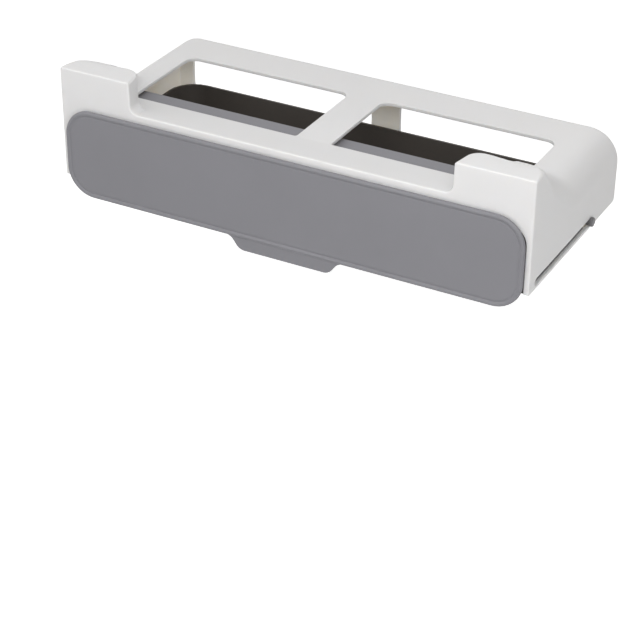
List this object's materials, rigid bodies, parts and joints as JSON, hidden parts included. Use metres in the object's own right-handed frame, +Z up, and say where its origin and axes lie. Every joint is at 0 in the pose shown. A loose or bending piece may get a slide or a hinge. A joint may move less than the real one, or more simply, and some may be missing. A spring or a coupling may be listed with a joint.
{
  "type": "pull-out spice rack",
  "caption": "Under-shelf spice rack: a white housing with windows and raised front ears, and a grey-fronted tray that slides out on side pins and tips down.",
  "frame": {"origin": "the middle of the bar between the two windows, on the flat top plate where the rack meets the underside of the shelf", "axes": "+X across the rack to the right as seen from the front, +Y towards the back, +Z up towards the shelf"},
  "size_m": [0.3448, 0.1492, 0.0994],
  "materials": {
    "white_plastic": "satin moulded white",
    "grey_plastic": "matt moulded mid grey",
    "dark_plastic": "matt moulded dark grey",
    "pin_plastic": "moulded grey",
    "washer_plastic": "natural moulded washer stock",
    "steel": "bright plated"
  },
  "bodies": {
    "housing": {"housing_shell": "white_plastic", "catch_magnet_left": "steel", "catch_magnet_right": "steel"},
    "carriage": {"guide_pin_left": "pin_plastic", "guide_pin_right": "pin_plastic", "pin_washer_left": "washer_plastic", "pin_washer_right": "washer_plastic", "pin_clip_left": "steel", "pin_clip_right": "steel"},
    "tray": {"tray_bin": "dark_plastic", "front_panel": "grey_plastic", "retaining_rail": "grey_plastic", "runner_left": "dark_plastic", "runner_right": "dark_plastic", "strike_plate_left": "steel", "strike_plate_right": "steel", "runner_screw_left_1": "steel", "runner_screw_left_2": "steel", "runner_screw_right_1": "steel", "runner_screw_right_2": "steel", "panel_screw_left_1": "steel", "panel_screw_left_2": "steel", "panel_screw_right_1": "steel", "panel_screw_right_2": "steel", "rail_screw_left": "steel", "rail_screw_right": "steel"}
  },
  "joints": [
    {"name": "tray_slide", "type": "slide", "parent": "housing", "child": "carriage", "axis": [0, -1, 0], "range_m": [0, 0.088]},
    {"name": "tray_tilt", "type": "hinge", "parent": "carriage", "child": "tray", "pos_m": [0, 0.0256, -0.0449], "axis": [1, 0, 0], "range_deg": [0, 90]}
  ]
}
